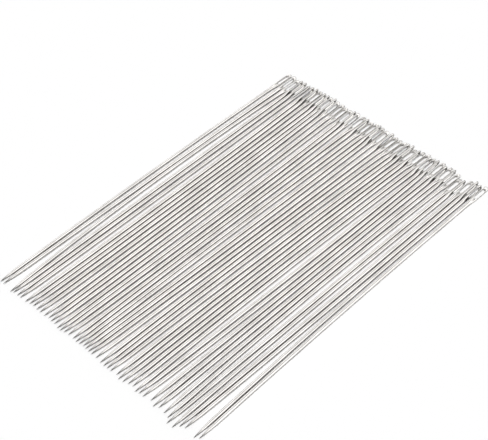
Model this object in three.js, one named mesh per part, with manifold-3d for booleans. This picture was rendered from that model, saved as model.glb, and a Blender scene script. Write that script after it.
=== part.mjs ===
// A set of fifty long straight upholstery needles, lying side by side in one layer.
// Millimetres, +Z up. The points are towards -X and the eyes towards +X, the first needle
// has the greatest y, and the surface that they lie on is z = 0.
import * as THREE from "three";
import { mergeVertices } from "three/addons/utils/BufferGeometryUtils.js";
import Module from "manifold-3d";

const wasm = await Module();
wasm.setup();

// One needle
const needleLength = 178;
const shaftDiameter = 1.7;
const pointLength = 12;
const pointCurve = 0.7;

// Its eye, pressed flat and wide, with a slot through it
const eyeWidth = 2.3;
const eyeThickness = 1.05;
const holeLength = 7.2;
const holeWidth = 1.6;
const headBeyondHole = 2;
const headRounding = 1.4;
const flatBeforeHole = 0.8;
const pressedRamp = 4.5;

// The gutters that guide the thread into the eye on both faces
const gutterWidth = 0.9;
const shaftGutterLength = 4;
const headGutterLength = 1.5;

// How finely the round shapes are cut
const shaftSides = 8;
const shaftSteps = 3;
const holeArcSteps = 3;
const gutterSides = 5;

// How the first needle lies: its y at the point, half way along and at the eye
const firstNeedle = { point: 0, middle: 0, eye: -1.2 };

// The clear space from each needle's side to the next one's, as they lie: at the points,
// half way along and at the eyes
const pointGaps = [
  0.4, 3.1, 0.2, 0.6, 0.3, 1.6, 0.4, 0.3, 0.7, 0.4, 0.9, 0.6, 0.3, 0.4, 0.7, 0.2, 0.2, 0.6,
  0.9, 0.3, 0.2, 0.2, 0.2, 0.2, 0.2, 0.9, 1.1, 0.4, 0.2, 0.4, 1.2, 0.4, 0.5, 0.6, 0.4, 0.7,
  0.4, 0.5, 1.6, 0.8, 0.4, 1.2, 0.7, 0.3, 0.9, 0.4, 0.3, 3.2, 0.2,
];
const middleGaps = [
  1.3, 0.3, 2.4, 0.3, 0.8, 1.7, 0.4, 0.4, 0.6, 0.6, 0.4, 0.6, 0.6, 0.8, 0.3, 1.0, 0.3, 0.6,
  0.4, 0.3, 0.7, 0.2, 1.1, 0.3, 0.6, 0.6, 0.4, 0.4, 0.5, 0.9, 0.4, 0.4, 0.6, 0.3, 0.6, 0.3,
  1.7, 0.6, 0.4, 0.3, 0.6, 0.2, 0.3, 1.7, 0.2, 1.4, 0.5, 0.6, 0.7,
];
const eyeGaps = [
  1.1, 0.9, 0.5, 0.4, 0.4, 0.9, 0.4, 0.2, 0.8, 0.4, 0.2, 0.2, 0.7, 0.7, 0.2, 0.9, 0.2, 0.4,
  1.2, 0.5, 0.3, 0.2, 0.2, 0.4, 0.7, 1.2, 0.4, 0.3, 0.2, 0.2, 0.3, 0.1, 0.1, 0.1, 0.2, 0.1,
  0.2, 0.2, 0.4, 0.3, 0.2, 0.2, 0.4, 0.2, 0.2, 0.5, 0.2, 0.5, 0.5,
];

// How far each needle is rolled from lying on the flat of its eye, in degrees
const rolls = [
  0, 50, 40, 80, 90, -35, 75, 90, 5, 80, 90, 45, 90, 50, -5, 5, 45, 90, 55, 10, 85, 0, 0,
  90, 60, 40, 70, 0, 5, -10, 60, 90, 5, 90, 20, -10, 55, 50, 90, 0, 75, 20, 90, -5, 5, 85,
  5, 80, 65, 30,
];

// How far each needle has slipped towards its eye from the line of the points
const slips = [
  0.3, 0.4, -0.5, 0, 0.2, 0.1, 0.1, 0.6, 0.8, 0.5, 0.5, 0.5, 1, 0.4, 0.5, -0.2, -0.3, 0.2,
  0.5, 0.5, 0.2, 0.3, 0.8, 0.4, 0.2, 0.2, 0.2, -0.2, -0.5, -0.3, -0.3, 0.1, -0.9, -0.6, 0.1,
  0.6, -0.7, -0.2, -0.1, 0.6, -0.8, 0.3, -0.1, -0.6, -2.7, -2.6, -0.4, 0.5, -0.3, 0.8,
];

const needleCount = rolls.length;
const shaftRadius = shaftDiameter / 2;
const headEnd = needleLength - headBeyondHole;
const holeStart = headEnd - holeLength;
const holeMiddle = (holeStart + headEnd) / 2;
const flatStart = holeStart - flatBeforeHole;
const pressStart = flatStart - pressedRamp;
const roundingStart = needleLength - headRounding;

// The steel's radius at a station along the needle before its eye is pressed
function wireRadius(station) {
  if (station < pointLength) {
    return shaftRadius * Math.sin((Math.PI / 2) * (station / pointLength)) ** pointCurve;
  }
  const rounded = Math.max(0, (station - roundingStart) / headRounding);
  return shaftRadius * Math.sqrt(1 - rounded ** 2);
}

// How much of the pressing is done at a station: none on the shaft, all of it along the eye
function pressing(station) {
  return THREE.MathUtils.smoothstep(station, pressStart, flatStart);
}

function halfWidth(station) {
  return THREE.MathUtils.lerp(shaftDiameter, eyeWidth, pressing(station)) / 2;
}

function halfThickness(station) {
  return THREE.MathUtils.lerp(shaftDiameter, eyeThickness, pressing(station)) / 2;
}

function toSolid(geometry) {
  const bare = geometry.clone();
  bare.deleteAttribute("normal");
  bare.deleteAttribute("uv");
  const merged = mergeVertices(bare);
  return new wasm.Manifold(
    new wasm.Mesh({
      numProp: 3,
      vertProperties: new Float32Array(merged.attributes.position.array),
      triVerts: new Uint32Array(merged.index.array),
    }),
  );
}

function toGeometry(solid) {
  const mesh = solid.getMesh();
  const geometry = new THREE.BufferGeometry();
  geometry.setAttribute("position", new THREE.BufferAttribute(mesh.vertProperties, 3));
  geometry.setIndex(new THREE.BufferAttribute(mesh.triVerts, 1));
  return geometry;
}

// Moves every point of a geometry by a function that changes the point it is given
function reshape(geometry, change) {
  const positions = geometry.attributes.position;
  const point = new THREE.Vector3();
  for (let i = 0; i < positions.count; i += 1) {
    point.fromBufferAttribute(positions, i);
    change(point);
    positions.setXYZ(i, point.x, point.y, point.z);
  }
  return geometry;
}

// The point, the shaft and the rounded head, turned as one round bar along +X
function turnedBar() {
  const stations = [0.12, 0.4, 0.7].map((share) => share * pointLength);
  for (let step = 0; step <= shaftSteps; step += 1) {
    stations.push(THREE.MathUtils.lerp(pointLength, pressStart, step / shaftSteps));
  }
  stations.push((pressStart + flatStart) / 2, flatStart, roundingStart);
  stations.push(roundingStart + headRounding * Math.SQRT1_2);
  // The flats of the many-sided bar lie at the wire's radius
  const toCorner = 1 / Math.cos(Math.PI / shaftSides);
  const profile = stations.map((s) => new THREE.Vector2(wireRadius(s) * toCorner, s));
  profile.unshift(new THREE.Vector2(0, 0));
  profile.push(new THREE.Vector2(0, needleLength));
  const bar = new THREE.LatheGeometry(profile, shaftSides, Math.PI / shaftSides);
  return bar.rotateZ(-Math.PI / 2);
}

function pressEye(bar) {
  return reshape(bar, (point) => {
    point.y *= halfWidth(point.x) / shaftRadius;
    point.z *= halfThickness(point.x) / shaftRadius;
  });
}

// The slot of the eye: straight sides and round ends, through both faces
function holeCutter() {
  const radius = holeWidth / 2;
  const outline = new THREE.Shape();
  outline.absarc(headEnd - radius, 0, radius, -Math.PI / 2, Math.PI / 2);
  outline.absarc(holeStart + radius, 0, radius, Math.PI / 2, (3 * Math.PI) / 2);
  const depth = 2 * shaftDiameter;
  const options = { depth, bevelEnabled: false, curveSegments: holeArcSteps };
  return new THREE.ExtrudeGeometry(outline, options).translate(0, 0, -depth / 2);
}

// A groove that starts as wide as the gutter at the eye and runs out in a point on the face
function gutterCutter(eyeStation, endStation, face) {
  const wide = new THREE.Vector3(eyeStation, 0, face * halfThickness(eyeStation));
  const narrow = new THREE.Vector3(endStation, 0, face * halfThickness(endStation));
  const along = narrow.clone().sub(wide);
  const cone = new THREE.ConeGeometry(gutterWidth / 2, along.length(), gutterSides);
  const up = new THREE.Vector3(0, 1, 0);
  cone.applyQuaternion(new THREE.Quaternion().setFromUnitVectors(up, along.normalize()));
  const middle = wide.add(narrow).multiplyScalar(0.5);
  return cone.translate(middle.x, middle.y, middle.z);
}

function makeNeedle() {
  let needle = toSolid(pressEye(turnedBar())).subtract(toSolid(holeCutter()));
  const intoHole = holeWidth / 2;
  for (const face of [1, -1]) {
    const shaftEnd = holeStart - shaftGutterLength;
    const shaftGutter = gutterCutter(holeStart + intoHole, shaftEnd, face);
    const headGutter = gutterCutter(headEnd - intoHole, headEnd + headGutterLength, face);
    needle = needle.subtract(toSolid(shaftGutter)).subtract(toSolid(headGutter));
  }
  return toGeometry(needle);
}

function lowest(geometry, from, to) {
  let low = Infinity;
  reshape(geometry, (point) => {
    if (point.x >= from && point.x <= to) {
      low = Math.min(low, point.z);
    }
  });
  return low;
}

// Rests a rolled needle on z = 0: on its shaft behind the point, and at the other end on its
// shaft or where the flat of its eye begins
function rest(geometry) {
  const pointLow = lowest(geometry, 0, needleLength / 2);
  const eyeLow = lowest(geometry, needleLength / 2, needleLength);
  const slope = (pointLow - eyeLow) / (flatStart - pointLength);
  return reshape(geometry, (point) => {
    point.z += slope * (point.x - pointLength) - pointLow;
  });
}

// Bows a needle sideways by a given distance half way between the two stations it is placed by
function bow(geometry, distance) {
  return reshape(geometry, (point) => {
    const share = (point.x - pointLength) / (holeMiddle - pointLength);
    point.y += distance * 4 * share * (1 - share);
  });
}

// Half of the width that a needle takes up at its eye when it is rolled
function halfReach(roll) {
  const flat = (eyeWidth / 2) * Math.cos(roll);
  const edge = (eyeThickness / 2) * Math.sin(roll);
  return Math.max(shaftRadius, Math.hypot(flat, edge));
}

// Each needle's y at its point, half way along and at its eye
function layOut() {
  const places = [firstNeedle];
  for (let i = 1; i < needleCount; i += 1) {
    const before = places[i - 1];
    const rollBefore = THREE.MathUtils.degToRad(rolls[i - 1]);
    const roll = THREE.MathUtils.degToRad(rolls[i]);
    places.push({
      point: before.point - shaftDiameter - pointGaps[i - 1],
      middle: before.middle - shaftDiameter - middleGaps[i - 1],
      eye: before.eye - halfReach(rollBefore) - halfReach(roll) - eyeGaps[i - 1],
    });
  }
  return places;
}

const needle = makeNeedle();
const row = new THREE.Group();
layOut().forEach((place, i) => {
  const rolled = needle.clone().rotateX(THREE.MathUtils.degToRad(rolls[i]));
  const geometry = bow(rest(rolled), place.middle - (place.point + place.eye) / 2);
  geometry.computeVertexNormals();
  const steel = new THREE.MeshStandardMaterial({
    color: 0xdcd9d4,
    metalness: 1,
    roughness: 0.28,
  });
  const mesh = new THREE.Mesh(geometry, steel);
  mesh.name = `needle_${String(i + 1).padStart(2, "0")}`;
  const slant = Math.atan2(place.eye - place.point, holeMiddle - pointLength);
  mesh.rotation.z = slant;
  mesh.position.set(slips[i], place.point - pointLength * Math.sin(slant), 0);
  row.add(mesh);
});

// The row's own frame has its origin under the middle of the whole set
const box = new THREE.Box3().setFromObject(row, true);
const middle = box.getCenter(new THREE.Vector3());
row.position.set(-middle.x, -middle.y, 0);

const set = new THREE.Group();
set.add(row);

export default set;
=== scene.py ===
"""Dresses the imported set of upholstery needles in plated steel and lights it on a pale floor."""
import math

import bmesh
import bpy
import numpy as np
from bpy.props import (
    FloatProperty,
    FloatVectorProperty,
    IntProperty,
    PointerProperty,
)
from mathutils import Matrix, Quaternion, Vector


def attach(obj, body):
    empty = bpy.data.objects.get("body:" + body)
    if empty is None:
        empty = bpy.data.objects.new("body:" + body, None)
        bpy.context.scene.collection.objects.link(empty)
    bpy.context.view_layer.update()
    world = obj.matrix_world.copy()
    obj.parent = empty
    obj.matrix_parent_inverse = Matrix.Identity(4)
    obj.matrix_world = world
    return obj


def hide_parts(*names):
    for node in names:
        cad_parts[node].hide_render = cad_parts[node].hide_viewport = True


bl_info = {
    "name": "Upholstery Needles",
    "version": (1, 0, 0),
    "blender": (4, 5, 0),
    "location": "3D View > Sidebar > Needles",
    "description": "Plated steel upholstery needles, laid where the packed model has them",
    "category": "Object",
}

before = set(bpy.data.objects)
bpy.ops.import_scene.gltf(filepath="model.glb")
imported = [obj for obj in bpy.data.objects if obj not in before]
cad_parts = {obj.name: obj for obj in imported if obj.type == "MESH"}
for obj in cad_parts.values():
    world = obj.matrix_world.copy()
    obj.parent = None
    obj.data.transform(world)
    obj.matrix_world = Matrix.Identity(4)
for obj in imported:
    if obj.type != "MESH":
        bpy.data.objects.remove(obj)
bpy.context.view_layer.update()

MM = 0.001

PATTERN_NAME = "pattern_needle"
STEEL_NAME = "plated_steel"
PLACE_ON_NEEDLE = "place_on_needle"
# The mark for nearly black steel: bare steel with painted shade at the point, and painted shade in
# the gutters and on the eye's flanks
BARE_AND_SHADE_MARK = "bare_steel_and_painted_shade"

# The points of a ring, numbered round the needle: the middles of its two faces, the rims of the
# slot beside them, and the shoulders between these and the needle's edges
COLUMNS = 12
FACE_COLUMNS = (3, 9)
RIM_COLUMNS = (2, 4, 8, 10)
SHOULDER_COLUMNS = (1, 5, 7, 11)

# Where the rings stand: shares of each stretch of the needle, or distances from the slot's ends
POINT_RINGS = (0.002, 0.02, 0.06, 0.13, 0.25, 0.4, 0.57, 0.76, 1.0)
SHAFT_RINGS = (0.04, 0.25, 0.5, 0.75, 0.97)
RAMP_RINGS = (0.18, 0.4, 0.6, 0.8)
SLOT_RINGS = (0.12, 0.35, 0.65, 0.88)
HEAD_RINGS = (0.65, 0.35, 0.12, 0.01)
SLOT_RIM_RING = 0.25 * MM
BEHIND_SLOT_RING = 0.8 * MM
SAME_STATION = 1e-6

# The pressed eye: how much fuller than an oval it is, and how its slot is cut and rounded
RIM_FULLNESS = 0.12
SHOULDER_WIDENING = 0.03
SHOULDER_FULLNESS = 0.16
UNSQUARED_HEAD = 0.6
SLOT_REACH = 0.3 * MM
SLOT_ROUNDING = 0.34 * MM
FACE_NORMAL = 0.6

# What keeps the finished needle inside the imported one
WITHIN_CAD = 0.985
END_ALLOWANCE = 0.02 * MM

# How dark the steel is painted, from nought to one: bare steel with painted shade at the point,
# painted shade in the gutters and on the eye's flanks; and the shares of a size over which that
# changes
BARE_AND_SHADE_AT_POINT = 0.95
PAINTED_SHADE_IN_GUTTERS = 0.9
PAINTED_SHADE_ON_FLANKS = 0.45
HEAD_GUTTER_SHADE = 0.4
POINT_FADE = (0.1, 0.4)
GUTTER_FADE = (0.35, 0.6)
FLANK_FADE = (0.38, 0.46)
FLANK_RAMP = 0.4
SHADED_GUTTER = 0.8
SHAFT_GUTTER_FADE = 0.8 * MM
HEAD_GUTTER_FADE = (0.6 * MM, 0.4 * MM)
LEAST_EYE_DARKENING = 0.3

# How a packed needle's lie is read from its points
SAME_POINT_DECIMALS = 7
SHAFT_SAMPLES = 4
SAMPLE_REACH = 0.5 * MM
EYE_EDGE = 0.47

# What sets one needle of the row off from the next: the part of the pattern that it shows, in
# metres, and how dark the painted shade in its eye is
PATTERN_STEP = (0.237, 0.0131, 0.0)
EYE_DARKENING_STEP = 0.618

# The marks on the steel, as their number to a metre along and across the needle
SMUDGES = (90.0, 350.0, 350.0)
DRAWN_LINES = (60.0, 5200.0, 5200.0)
CROSS_GRAIN = (3600.0, 420.0, 420.0)

# How much each mark adds to the steel's tone, gloss and relief, and the sums at which the tone is
# dullest and brightest and the gloss roughest and smoothest
TONE_MIX = (0.5, 0.2, 0.3)
GLOSS_MIX = (0.6, 0.4)
GRAIN_MIX = (0.5, 0.5)
TONE_RANGE = (0.36, 0.62)
GLOSS_RANGE = (0.35, 0.65)
GRAIN_DEPTH = 0.02 * MM

FLOOR_SIZE = 6.0
FLOOR_DROP = 0.02 * MM
FLOOR_ROUGHNESS = 0.9

# Where the lamp hangs, and how wide it looks from the table
LAMP_TOWARDS = (-0.4, -0.36, 1.2)
LAMP_SOFTNESS = math.radians(15.0)

# The tilt of each panel from overhead towards the last needle's side, and how wide it looks
NEAR_SOFTBOX = (math.radians(53.0), math.radians(72.8))
GREY_CARD = (math.radians(-8.0), math.radians(31.6))
FAR_SOFTBOX = (math.radians(-54.0), math.radians(55.8))
PANEL_DISTANCE = 0.9
PANEL_LENGTH = 4.0

SENSOR_WIDTH = 36.0
CAMERA_REACH = (0.01, 20.0)


def length_of(name, description, millimetres):
    return FloatProperty(
        name=name,
        description=description,
        default=millimetres * MM,
        unit="LENGTH",
        precision=4,
        min=0.0,
    )


def colour_of(name, description, colour):
    return FloatVectorProperty(
        name=name,
        description=description,
        default=colour,
        subtype="COLOR",
        size=3,
        min=0.0,
        max=1.0,
    )


def share_of(name, description, share):
    return FloatProperty(
        name=name,
        description=description,
        default=share,
        subtype="FACTOR",
        min=0.0,
        max=1.0,
    )


def place_of(name, description, place):
    return FloatVectorProperty(
        name=name,
        description=description,
        default=place,
        subtype="TRANSLATION",
        unit="LENGTH",
        size=3,
    )


def level_of(name, description, level):
    return FloatProperty(
        name=name,
        description=description,
        default=level,
        min=0.0,
        soft_max=3.0,
    )


class NEEDLES_PG_shape(bpy.types.PropertyGroup):
    """Sizes of one needle before it is laid in the row"""

    length: length_of("Length", "From the point to the end of the head", 178.0)
    diameter: length_of("Shaft Diameter", "Of the drawn wire", 1.7)
    point_length: length_of("Point Length", "Over which the wire is ground to a point", 12.0)
    point_curve: share_of("Point Curve", "A long fine point at 1, and a blunter one below", 0.88)
    eye_width: length_of("Eye Width", "Across the pressed eye", 2.3)
    eye_thickness: length_of("Eye Thickness", "Through the pressed eye", 1.05)
    hole_length: length_of("Hole Length", "Of the slot for the thread", 7.2)
    hole_width: length_of("Hole Width", "Of the slot for the thread", 1.6)
    head_beyond_hole: length_of("Head Beyond Hole", "Steel left past the slot", 2.0)
    head_rounding: length_of("Head Rounding", "Length of the rounded end", 1.4)
    flat_before_hole: length_of("Flat Before Hole", "Pressed flat before the slot starts", 0.8)
    pressed_ramp: length_of("Pressed Ramp", "From the round shaft to the pressed flat", 4.5)
    gutter_width: length_of("Gutter Width", "Of the grooves that guide the thread", 0.9)
    gutter_depth: length_of("Gutter Depth", "Of the grooves where they meet the slot", 0.38)
    shaft_gutter: length_of("Shaft Gutter Length", "Of the groove on the shaft's side", 4.0)
    head_gutter: length_of("Head Gutter Length", "Of the groove on the head's side", 1.5)
    smoothing: IntProperty(
        name="Smoothing",
        description="Times that the needle's faces are divided",
        default=2,
        min=0,
        max=3,
    )


class NEEDLES_PG_steel(bpy.types.PropertyGroup):
    """Finish of the plated steel"""

    bright: colour_of("Bright Plating", "Where the plating is cleanest", (0.54, 0.527, 0.512))
    dull: colour_of("Dull Plating", "Where handling has dulled it", (0.405, 0.394, 0.381))
    # Nearly black: bare steel with painted shade at the point, and painted shade in the gutters
    # and on the eye's flanks
    bare_and_shade: colour_of("Bare Steel", "Of point, gutters and the eye's flanks", (0.06, 0.058, 0.055))
    smooth: share_of("Lowest Roughness", "Of the best polished places", 0.08)
    rough: share_of("Highest Roughness", "Of the worn places", 0.20)
    grain: share_of("Grain Strength", "Of the fine marks left by grinding", 0.12)
    edge: share_of("Edge Tint", "Of the light that the steel mirrors at a grazing angle", 0.45)


class NEEDLES_PG_studio(bpy.types.PropertyGroup):
    """Floor, light and camera"""

    floor: colour_of("Floor", "Colour of the table", (0.98, 0.98, 0.98))
    camera_place: place_of("Camera Place", "Where the camera stands", (-0.2708, -0.2667, 0.4073))
    camera_aim: place_of("Camera Aim", "Place at the picture's middle", (0.00583, 0.00796, 0.0))
    camera_roll: FloatProperty(
        name="Camera Roll",
        description="Turn of the picture about its middle",
        default=math.radians(-1.93),
        subtype="ANGLE",
    )
    lens: FloatProperty(
        name="Lens",
        description="Focal length in millimetres",
        default=96.91,
        min=1.0,
    )
    tent: level_of("Light Tent", "Level of the white tent all round", 0.33)
    lamp: level_of("Overhead Lamp", "Level of the soft lamp above the table", 0.69)
    near_box: level_of("Near Softbox", "Level of the softbox on the last needle's side", 2.42)
    far_box: level_of("Far Softbox", "Level of the softbox on the first needle's side", 2.36)
    card: level_of("Grey Card", "Level of the card between the softboxes", 0.87)


# One needle


def wire_radius(shape, station):
    """The wire's radius at a station from the point, before its eye is pressed."""
    radius = shape.diameter / 2
    if station < shape.point_length:
        return radius * math.sin(math.pi / 2 * station / shape.point_length) ** shape.point_curve
    past = station - (shape.length - shape.head_rounding)
    return radius * math.sqrt(max(0.0, 1 - max(0.0, past / shape.head_rounding) ** 2))


def hole_ends(shape):
    """Where the slot starts and ends."""
    end = shape.length - shape.head_beyond_hole
    return end - shape.hole_length, end


def flat_start(shape):
    """Where the pressed flat starts."""
    return hole_ends(shape)[0] - shape.flat_before_hole


def press_start(shape):
    """Where the round shaft ends."""
    return flat_start(shape) - shape.pressed_ramp


def pressing(shape, station):
    """How much of the pressing is done at a station: none on the shaft, all along the eye."""
    share = (station - press_start(shape)) / shape.pressed_ramp
    share = min(1.0, max(0.0, share))
    return share * share * (3 - 2 * share)


def half_sizes(shape, station):
    """Half the width and half the thickness of the steel at a station."""
    pressed = pressing(shape, station)
    round_share = wire_radius(shape, station) / (shape.diameter / 2)
    wide = shape.diameter + (shape.eye_width - shape.diameter) * pressed
    thick = shape.diameter + (shape.eye_thickness - shape.diameter) * pressed
    return wide / 2 * round_share, thick / 2 * round_share


def ring_stations(shape):
    """Where the needle's rings of points stand, from the point to the head."""
    first, last = hole_ends(shape)
    shaft_end = press_start(shape)
    shaft_length = shaft_end - shape.point_length
    return [
        *(shape.point_length * share for share in POINT_RINGS),
        *(shape.point_length + shaft_length * share for share in SHAFT_RINGS),
        *(shaft_end + shape.pressed_ramp * share for share in RAMP_RINGS),
        flat_start(shape),
        first - SLOT_RIM_RING,
        *(first + shape.hole_length * share for share in SLOT_RINGS),
        last + SLOT_RIM_RING,
        last + BEHIND_SLOT_RING,
        *(shape.length - shape.head_rounding * share for share in HEAD_RINGS),
    ]


def deselect_all():
    for thing in bpy.context.selected_objects:
        thing.select_set(False)


def pick(mesh, test):
    """In edit mode, selects the vertices that pass a test."""
    bpy.ops.mesh.select_mode(type="VERT")
    work = bmesh.from_edit_mesh(mesh)
    for vertex in work.verts:
        vertex.select = bool(test(vertex))
    work.select_flush_mode()
    bmesh.update_edit_mesh(mesh)


def resize(station, width, thickness):
    """In edit mode, scales what is selected about the needle's line at a station."""
    bpy.ops.transform.resize(value=(1.0, width, thickness), center_override=(station, 0.0, 0.0))


def draw_out_bar(shape, stations):
    """Draws a bar out of one small ring, a ring at a time, to the sizes of the steel there."""
    smoothed = 2 / 3 + math.cos(2 * math.pi / COLUMNS) / 3
    sizes = [[size / smoothed for size in half_sizes(shape, station)] for station in stations]
    bpy.ops.mesh.primitive_circle_add(
        vertices=COLUMNS,
        radius=sizes[0][0],
        fill_type="NGON",
        location=(stations[0], 0.0, 0.0),
        rotation=(0.0, math.pi / 2, 0.0),
    )
    bar = bpy.context.active_object
    bar.name = PATTERN_NAME
    bpy.ops.object.transform_apply(location=True, rotation=True, scale=True)
    bpy.ops.object.mode_set(mode="EDIT")
    bpy.ops.mesh.select_all(action="SELECT")
    for i in range(1, len(stations)):
        step = stations[i] - stations[i - 1]
        bpy.ops.mesh.extrude_region_move(TRANSFORM_OT_translate={"value": (step, 0.0, 0.0)})
        resize(stations[i], sizes[i][0] / sizes[i - 1][0], sizes[i][1] / sizes[i - 1][1])
    bpy.ops.object.mode_set(mode="OBJECT")
    return bar


def number_points(bar, shape, stations):
    """Notes each point's ring and its column round the bar, so that later steps can find them."""
    rings = bar.data.attributes.new("ring", "INT", "POINT")
    columns = bar.data.attributes.new("column", "INT", "POINT")
    for point in bar.data.vertices:
        ring = min(range(len(stations)), key=lambda k: abs(stations[k] - point.co.x))
        wide, thick = half_sizes(shape, stations[ring])
        turn = math.atan2(point.co.z / thick, point.co.y / wide) / (2 * math.pi)
        rings.data[point.index].value = ring
        columns.data[point.index].value = round(turn * COLUMNS) % COLUMNS


def press_eye(bar, shape, stations):
    """Squares the pressed eye, cuts its slot through both faces and sinks its gutters."""
    first, last = hole_ends(shape)
    bpy.ops.object.mode_set(mode="EDIT")
    work = bmesh.from_edit_mesh(bar.data)
    ring_of = work.verts.layers.int["ring"]
    column_of = work.verts.layers.int["column"]

    def pick_columns(columns, start, end):
        start, end = start - SAME_STATION, end + SAME_STATION
        pick(
            bar.data,
            lambda v: v[column_of] in columns and start <= stations[v[ring_of]] <= end,
        )

    flat_end = shape.length - shape.head_rounding * UNSQUARED_HEAD
    eye = [s for s in stations if press_start(shape) < s < flat_end]
    # The faces of the eye are flatter, and its edges fuller, than an oval
    for station in eye:
        pressed = pressing(shape, station)
        pick_columns(RIM_COLUMNS, station, station)
        resize(station, 1.0, 1 + RIM_FULLNESS * pressed)
        pick_columns(SHOULDER_COLUMNS, station, station)
        resize(station, 1 + SHOULDER_WIDENING * pressed, 1 + SHOULDER_FULLNESS * pressed)
    # The gutters sink and widen towards the slot
    half_thick = shape.eye_thickness / 2
    for station in eye:
        if station < first:
            share = 1 - (first - station) / shape.shaft_gutter
        elif station > last:
            share = 1 - (station - last) / shape.head_gutter
        else:
            share = 1.0
        share = max(0.0, share)
        pick_columns(FACE_COLUMNS, station, station)
        resize(station, 1.0, 1 - share * shape.gutter_depth / half_thick)
        half_opening = (shape.hole_width if first <= station <= last else shape.gutter_width) / 2
        rim = half_sizes(shape, station)[0] / 2
        pick_columns(RIM_COLUMNS, station, station)
        resize(station, 1 + (half_opening / rim - 1) * share, 1.0)
    # The slot ends round
    slot = [s for s in stations if first - SLOT_REACH <= s <= last + SLOT_REACH]
    for station, step in ((slot[0], SLOT_ROUNDING), (slot[-1], -SLOT_ROUNDING)):
        pick_columns(RIM_COLUMNS, station, station)
        bpy.ops.transform.translate(value=(step, 0.0, 0.0))
    pick_columns(RIM_COLUMNS + FACE_COLUMNS, slot[0], slot[-1])
    bpy.ops.mesh.select_mode(type="FACE")
    work = bmesh.from_edit_mesh(bar.data)
    column_of = work.verts.layers.int["column"]
    for face in work.faces:
        face.select = face.select and abs(face.normal.z) > FACE_NORMAL
    bmesh.update_edit_mesh(bar.data)
    bpy.ops.mesh.delete(type="FACE")
    bpy.ops.mesh.select_mode(type="EDGE")
    bpy.ops.mesh.select_all(action="DESELECT")
    bpy.ops.mesh.select_non_manifold()
    bpy.ops.mesh.bridge_edge_loops(number_cuts=2, interpolation="LINEAR")
    bpy.ops.mesh.select_all(action="SELECT")
    bpy.ops.mesh.normals_make_consistent(inside=False)
    bpy.ops.object.mode_set(mode="OBJECT")


def finish_pattern(bar, shape):
    """Rounds the needle's faces, brings it to its exact length and marks its bare steel and
    painted shade.
    """
    for name in ("ring", "column"):
        bar.data.attributes.remove(bar.data.attributes[name])
    rounding = bar.modifiers.new("rounding", "SUBSURF")
    rounding.levels = rounding.render_levels = shape.smoothing
    bpy.ops.object.modifier_apply(modifier=rounding.name)
    bpy.ops.object.mode_set(mode="EDIT")
    bpy.ops.mesh.select_all(action="SELECT")
    start = min(v.co.x for v in bar.data.vertices)
    end = max(v.co.x for v in bar.data.vertices)
    bpy.ops.transform.translate(value=(END_ALLOWANCE - start, 0.0, 0.0))
    to_length = (shape.length - 2 * END_ALLOWANCE) / (end - start)
    bpy.ops.transform.resize(
        value=(to_length, WITHIN_CAD, WITHIN_CAD),
        center_override=(END_ALLOWANCE, 0.0, 0.0),
    )
    bpy.ops.object.mode_set(mode="OBJECT")
    bpy.ops.object.shade_smooth()
    mark_bare_steel_and_shade(bar, shape)


def mark_bare_steel_and_shade(bar, shape):
    """Notes where the steel is painted dark: bare steel with painted shade at the ground point,
    and painted shade in the gutters and on the eye's flanks.
    """
    first, last = hole_ends(shape)
    flat = places_of(bar.data)
    station, across = flat[:, 0], np.abs(flat[:, 1])
    point = BARE_AND_SHADE_AT_POINT * (1 - ramp_up_shares(station, shape.point_length, POINT_FADE))
    before = ramp_up(station, first - SHADED_GUTTER * shape.shaft_gutter, first - SHAFT_GUTTER_FADE)
    before *= 1 - ramp_up(station, first, first + SHAFT_GUTTER_FADE)
    behind = ramp_up(station, last - HEAD_GUTTER_FADE[0], last)
    shaded_end = last + SHADED_GUTTER * shape.head_gutter
    behind *= 1 - ramp_up(station, last + HEAD_GUTTER_FADE[1], shaded_end)
    inside = np.maximum(before, HEAD_GUTTER_SHADE * behind)
    inside *= 1 - ramp_up_shares(across, shape.gutter_width, GUTTER_FADE)
    flank = ramp_up(station, flat_start(shape) - FLANK_RAMP * shape.pressed_ramp, first)
    flank *= ramp_up_shares(across, shape.eye_width, FLANK_FADE)
    eye = np.maximum(PAINTED_SHADE_IN_GUTTERS * inside, PAINTED_SHADE_ON_FLANKS * flank)
    bare_and_shade = np.maximum(point, eye)
    marks = bar.data.attributes.new(BARE_AND_SHADE_MARK, "FLOAT", "POINT")
    marks.data.foreach_set("value", bare_and_shade.astype(np.float32))


def vary_eye_darkening(mesh, at_eye, darkening):
    """Varies from needle to needle how dark the eye's bare steel and painted shade are."""
    marks = mesh.attributes[BARE_AND_SHADE_MARK].data
    bare_and_shade = np.empty(len(marks), np.float32)
    marks.foreach_get("value", bare_and_shade)
    bare_and_shade[at_eye] *= LEAST_EYE_DARKENING + (1 - LEAST_EYE_DARKENING) * darkening
    marks.foreach_set("value", bare_and_shade)


def ramp_up(values, start, end):
    """Nought up to the start, one from the end, and a straight line between them."""
    return np.clip((values - start) / (end - start), 0.0, 1.0)


def ramp_up_shares(values, size, shares):
    return ramp_up(values, shares[0] * size, shares[1] * size)


def model_needle(shape):
    """Models one needle along +X, with its point at the origin and its eye lying flat."""
    deselect_all()
    stations = ring_stations(shape)
    bar = draw_out_bar(shape, stations)
    number_points(bar, shape, stations)
    press_eye(bar, shape, stations)
    finish_pattern(bar, shape)
    return bar


# The row


def places_of(mesh):
    """The places of a mesh's points, a row for each."""
    flat = np.empty(len(mesh.vertices) * 3, np.float32)
    mesh.vertices.foreach_get("co", flat)
    return flat.reshape(-1, 3).astype(float)


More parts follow.
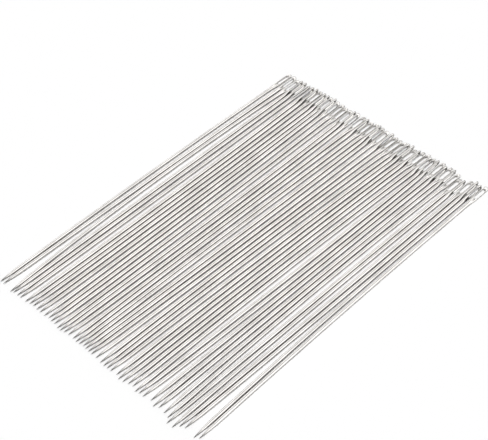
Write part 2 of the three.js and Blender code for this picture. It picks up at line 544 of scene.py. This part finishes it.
def read_lie(node, shape):
    """How a packed needle lies: the curve of its centre line, its side and its roll."""
    points = np.unique(places_of(node.data).round(SAME_POINT_DECIMALS), axis=0)
    point, end = points[points[:, 0].argmin()], points[points[:, 0].argmax()]
    along = (end - point) / np.linalg.norm(end - point)
    station = (points - point) @ along
    rings = np.linspace(shape.point_length, press_start(shape), SHAFT_SAMPLES)
    centres = [points[np.abs(station - ring) < SAMPLE_REACH].mean(axis=0) for ring in rings]
    line = np.polyfit([0.0, *rings, shape.length], [point, *centres, end], 2)
    side = np.array([-along[1], along[0], 0.0]) / math.hypot(along[0], along[1])
    offset = points - on_line(line, station)
    across, up = offset @ side, offset[:, 2]
    edges = (station > press_start(shape)) & (np.hypot(across, up) > EYE_EDGE * shape.eye_width)
    across, up = across[edges], up[edges]
    roll = 0.5 * math.atan2(2 * (across * up).sum(), (across**2 - up**2).sum())
    return line, side, roll


def on_line(line, station):
    """The places on a centre line at the given stations."""
    station = np.asarray(station)[:, None]
    return (line[0] * station + line[1]) * station + line[2]


def lay_needle(pattern, node, shape, turn):
    """Copies the pattern, with a mesh of its own, to where a packed needle lies."""
    line, side, roll = read_lie(node, shape)
    needle = pattern.copy()
    needle.data = pattern.data.copy()
    needle.name = needle.data.name = "steel_" + node.name
    bpy.context.scene.collection.objects.link(needle)
    flat = places_of(pattern.data)
    across = flat[:, 1] * math.cos(roll) - flat[:, 2] * math.sin(roll)
    up = flat[:, 1] * math.sin(roll) + flat[:, 2] * math.cos(roll)
    laid = on_line(line, flat[:, 0]) + across[:, None] * side
    # Nothing sinks into the table
    laid[:, 2] = np.maximum(laid[:, 2] + up, 0.0)
    needle.data.vertices.foreach_set("co", laid.astype(np.float32).ravel())
    kept = needle.data.attributes.new(PLACE_ON_NEEDLE, "FLOAT_VECTOR", "POINT")
    shifted = flat + turn * np.array(PATTERN_STEP)
    kept.data.foreach_set("vector", shifted.astype(np.float32).ravel())
    vary_eye_darkening(needle.data, flat[:, 0] > press_start(shape), turn * EYE_DARKENING_STEP % 1.0)
    needle.data.update()
    return needle


# The steel


def node_of(tree, kind, place, **values):
    """Adds a node at a place in the tree's layout."""
    made = tree.nodes.new(kind)
    made.location = place
    for name, value in values.items():
        setattr(made, name, value)
    return made


def plated_steel(finish):
    """Bright plating with soft smudges, fine drawn lines and a cross grain from grinding."""
    steel = bpy.data.materials.new(STEEL_NAME)
    steel.use_nodes = True
    tree = steel.node_tree
    links = tree.links
    shader = tree.nodes["Principled BSDF"]
    shader.inputs["Metallic"].default_value = 1.0
    shader.inputs["Specular Tint"].default_value = (finish.edge, finish.edge, finish.edge, 1.0)
    place = node_of(tree, "ShaderNodeAttribute", (-1300, 0), attribute_name=PLACE_ON_NEEDLE)

    def marks(label, y, scale, detail, roughness=0.5):
        """Noise drawn out along or across the needle."""
        stretch = node_of(tree, "ShaderNodeMapping", (-1100, y), label=label)
        stretch.inputs["Scale"].default_value = scale
        noise = node_of(tree, "ShaderNodeTexNoise", (-900, y), label=label)
        noise.inputs["Scale"].default_value = 1.0
        noise.inputs["Detail"].default_value = detail
        noise.inputs["Roughness"].default_value = roughness
        links.new(place.outputs["Vector"], stretch.inputs["Vector"])
        links.new(stretch.outputs["Vector"], noise.inputs["Vector"])
        return noise.outputs["Fac"]

    smudges = marks("smudges", 300, SMUDGES, detail=3.0)
    drawn = marks("drawn lines", 0, DRAWN_LINES, detail=2.0)
    ground = marks("cross grain", -300, CROSS_GRAIN, detail=2.0, roughness=0.6)

    def blend(y, values, weights):
        """A sum of the marks, each at its weight."""
        total = None
        for i, (value, weight) in enumerate(zip(values, weights)):
            place_of_part = (-650 + 40 * i, y - 60 * i)
            part = node_of(tree, "ShaderNodeMath", place_of_part, operation="MULTIPLY_ADD")
            part.inputs[1].default_value = weight
            part.inputs[2].default_value = 0.0
            links.new(value, part.inputs[0])
            if total is not None:
                links.new(total, part.inputs[2])
            total = part.outputs["Value"]
        return total

    tone = node_of(tree, "ShaderNodeMapRange", (-350, 250), interpolation_type="SMOOTHSTEP")
    tone.inputs["From Min"].default_value, tone.inputs["From Max"].default_value = TONE_RANGE
    links.new(blend(300, (smudges, drawn, ground), TONE_MIX), tone.inputs["Value"])
    colour = node_of(tree, "ShaderNodeMix", (-150, 250), data_type="RGBA")
    colour.inputs["A"].default_value = (*finish.dull, 1.0)
    colour.inputs["B"].default_value = (*finish.bright, 1.0)
    links.new(tone.outputs["Result"], colour.inputs["Factor"])
    # The nearly black steel mixed in by the mark: bare steel with painted shade at the point,
    # painted shade in the gutters and on the eye's flanks
    bare_and_shade = node_of(tree, "ShaderNodeAttribute", (-350, 450), attribute_name=BARE_AND_SHADE_MARK)
    bared_and_shaded = node_of(tree, "ShaderNodeMix", (0, 350), data_type="RGBA")
    bared_and_shaded.inputs["B"].default_value = (*finish.bare_and_shade, 1.0)
    links.new(bare_and_shade.outputs["Fac"], bared_and_shaded.inputs["Factor"])
    links.new(colour.outputs["Result"], bared_and_shaded.inputs["A"])
    links.new(bared_and_shaded.outputs["Result"], shader.inputs["Base Color"])

    gloss = node_of(tree, "ShaderNodeMapRange", (-350, 0))
    gloss.inputs["From Min"].default_value, gloss.inputs["From Max"].default_value = GLOSS_RANGE
    gloss.inputs["To Min"].default_value = finish.rough
    gloss.inputs["To Max"].default_value = finish.smooth
    links.new(blend(0, (smudges, drawn), GLOSS_MIX), gloss.inputs["Value"])
    links.new(gloss.outputs["Result"], shader.inputs["Roughness"])

    relief = node_of(tree, "ShaderNodeBump", (-350, -300))
    relief.inputs["Strength"].default_value = finish.grain
    relief.inputs["Distance"].default_value = GRAIN_DEPTH
    links.new(blend(-300, (drawn, ground), GRAIN_MIX), relief.inputs["Height"])
    links.new(relief.outputs["Normal"], shader.inputs["Normal"])
    return steel


class NEEDLES_OT_make_needles(bpy.types.Operator):
    """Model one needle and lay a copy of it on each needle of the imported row"""

    bl_idname = "needles.make_needles"
    bl_label = "Make Needles"
    bl_options = {"REGISTER", "UNDO"}

    def execute(self, context):
        shape = context.scene.needle_shape
        pattern = model_needle(shape)
        pattern.data.materials.append(plated_steel(context.scene.needle_steel))
        for turn, name in enumerate(sorted(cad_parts)):
            needle = lay_needle(pattern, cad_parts[name], shape, turn)
            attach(needle, name)
            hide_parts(name)
        bpy.data.objects.remove(pattern)
        return {"FINISHED"}


# The stage


def rays_that_show(tree):
    """One for a ray from the camera or one that the steel mirrors, nought for one that lights."""
    path = node_of(tree, "ShaderNodeLightPath", (-900, 0))
    shown = path.outputs["Is Camera Ray"]
    for i, ray in enumerate(("Is Glossy Ray", "Is Transmission Ray")):
        either = node_of(tree, "ShaderNodeMath", (-700 + 180 * i, 0), operation="MAXIMUM")
        tree.links.new(shown, either.inputs[0])
        tree.links.new(path.outputs[ray], either.inputs[1])
        shown = either.outputs["Value"]
    return shown


def light_world(studio):
    """A tent all round that shows white and lights at its own lower level."""
    world = bpy.data.worlds.new("light_tent")
    world.use_nodes = True
    tree = world.node_tree
    tent = tree.nodes["Background"]
    tent.inputs["Color"].default_value = (1.0, 1.0, 1.0, 1.0)
    level = node_of(tree, "ShaderNodeMapRange", (-300, 0))
    level.inputs["To Min"].default_value = studio.tent
    level.inputs["To Max"].default_value = 1.0
    tree.links.new(rays_that_show(tree), level.inputs["Value"])
    tree.links.new(level.outputs["Result"], tent.inputs["Strength"])
    bpy.context.scene.world = world


def lay_floor(studio):
    """A wide pale table under the row."""
    deselect_all()
    bpy.ops.mesh.primitive_plane_add(size=FLOOR_SIZE, location=(0.0, 0.0, -FLOOR_DROP))
    bpy.ops.object.transform_apply(location=True, rotation=True, scale=True)
    table = bpy.context.active_object
    table.name = "pale_floor"
    paint = bpy.data.materials.new("pale_floor")
    paint.use_nodes = True
    shader = paint.node_tree.nodes["Principled BSDF"]
    shader.inputs["Base Color"].default_value = (*studio.floor, 1.0)
    shader.inputs["Roughness"].default_value = FLOOR_ROUGHNESS
    shader.inputs["Specular IOR Level"].default_value = 0.0
    table.data.materials.append(paint)


def hang_lamp(name, towards, softness, level):
    """Hangs a soft lamp far off in a direction, which lights the table to a level."""
    towards = Vector(towards).normalized()
    lamp = bpy.data.lights.new(name, "SUN")
    lamp.angle = softness
    lamp.energy = level * math.pi / towards.z
    holder = bpy.data.objects.new(name, lamp)
    holder.location = towards
    holder.rotation_euler = towards.to_track_quat("Z", "Y").to_euler()
    holder.visible_glossy = False
    bpy.context.scene.collection.objects.link(holder)


def hang_panel(name, tilt, spread, level):
    """Hangs a long glowing panel, along the needles, that is seen only in the steel."""
    deselect_all()
    bpy.ops.mesh.primitive_plane_add(size=1.0)
    panel = bpy.context.active_object
    panel.name = name
    height = 2 * PANEL_DISTANCE * math.tan(spread / 2)
    bpy.ops.transform.resize(value=(PANEL_LENGTH, height, 1.0))
    panel.rotation_euler = (tilt, 0.0, 0.0)
    panel.location = (0.0, -PANEL_DISTANCE * math.sin(tilt), PANEL_DISTANCE * math.cos(tilt))
    bpy.ops.object.transform_apply(location=True, rotation=True, scale=True)
    glow = bpy.data.materials.new(name)
    glow.use_nodes = True
    tree = glow.node_tree
    light = node_of(tree, "ShaderNodeEmission", (0, 200))
    light.inputs["Strength"].default_value = level
    tree.links.new(light.outputs["Emission"], tree.nodes["Material Output"].inputs["Surface"])
    tree.nodes.remove(tree.nodes["Principled BSDF"])
    panel.data.materials.append(glow)
    panel.visible_camera = panel.visible_diffuse = panel.visible_shadow = False


def set_camera(studio):
    """Stands the camera where it sees the row as the photograph does."""
    camera = bpy.data.cameras.new("camera")
    camera.lens = studio.lens
    camera.sensor_width = SENSOR_WIDTH
    camera.clip_start, camera.clip_end = CAMERA_REACH
    holder = bpy.data.objects.new("camera", camera)
    holder.location = studio.camera_place
    look = (Vector(studio.camera_aim) - Vector(studio.camera_place)).to_track_quat("-Z", "Y")
    holder.rotation_mode = "QUATERNION"
    holder.rotation_quaternion = look @ Quaternion((0.0, 0.0, 1.0), studio.camera_roll)
    bpy.context.scene.collection.objects.link(holder)
    bpy.context.scene.camera = holder


class NEEDLES_OT_set_stage(bpy.types.Operator):
    """Lay the pale floor, hang the tent, the lamp and the panels, and set the camera"""

    bl_idname = "needles.set_stage"
    bl_label = "Set Stage"
    bl_options = {"REGISTER", "UNDO"}

    def execute(self, context):
        studio = context.scene.needle_studio
        context.scene.view_settings.view_transform = "Standard"
        light_world(studio)
        lay_floor(studio)
        hang_lamp("overhead_lamp", LAMP_TOWARDS, LAMP_SOFTNESS, studio.lamp)
        hang_panel("near_softbox", *NEAR_SOFTBOX, studio.near_box)
        hang_panel("grey_card", *GREY_CARD, studio.card)
        hang_panel("far_softbox", *FAR_SOFTBOX, studio.far_box)
        set_camera(studio)
        return {"FINISHED"}


class NEEDLES_PT_set(bpy.types.Panel):
    """Sizes, finish and studio of the needle set"""

    bl_label = "Upholstery Needles"
    bl_idname = "NEEDLES_PT_set"
    bl_space_type = "VIEW_3D"
    bl_region_type = "UI"
    bl_category = "Needles"

    def draw(self, context):
        layout = self.layout
        for title, group, operator in (
            ("Needles", context.scene.needle_shape, NEEDLES_OT_make_needles),
            ("Steel", context.scene.needle_steel, None),
            ("Studio", context.scene.needle_studio, NEEDLES_OT_set_stage),
        ):
            box = layout.box()
            box.label(text=title)
            for name in group.__annotations__:
                box.prop(group, name)
            if operator:
                box.operator(operator.bl_idname)


CLASSES = (
    NEEDLES_PG_shape,
    NEEDLES_PG_steel,
    NEEDLES_PG_studio,
    NEEDLES_OT_make_needles,
    NEEDLES_OT_set_stage,
    NEEDLES_PT_set,
)


def register():
    for part in CLASSES:
        bpy.utils.register_class(part)
    bpy.types.Scene.needle_shape = PointerProperty(type=NEEDLES_PG_shape)
    bpy.types.Scene.needle_steel = PointerProperty(type=NEEDLES_PG_steel)
    bpy.types.Scene.needle_studio = PointerProperty(type=NEEDLES_PG_studio)


def unregister():
    del bpy.types.Scene.needle_studio
    del bpy.types.Scene.needle_steel
    del bpy.types.Scene.needle_shape
    for part in reversed(CLASSES):
        bpy.utils.unregister_class(part)


def main():
    register()
    bpy.ops.needles.make_needles()
    bpy.ops.needles.set_stage()


if __name__ == "__main__":
    main()
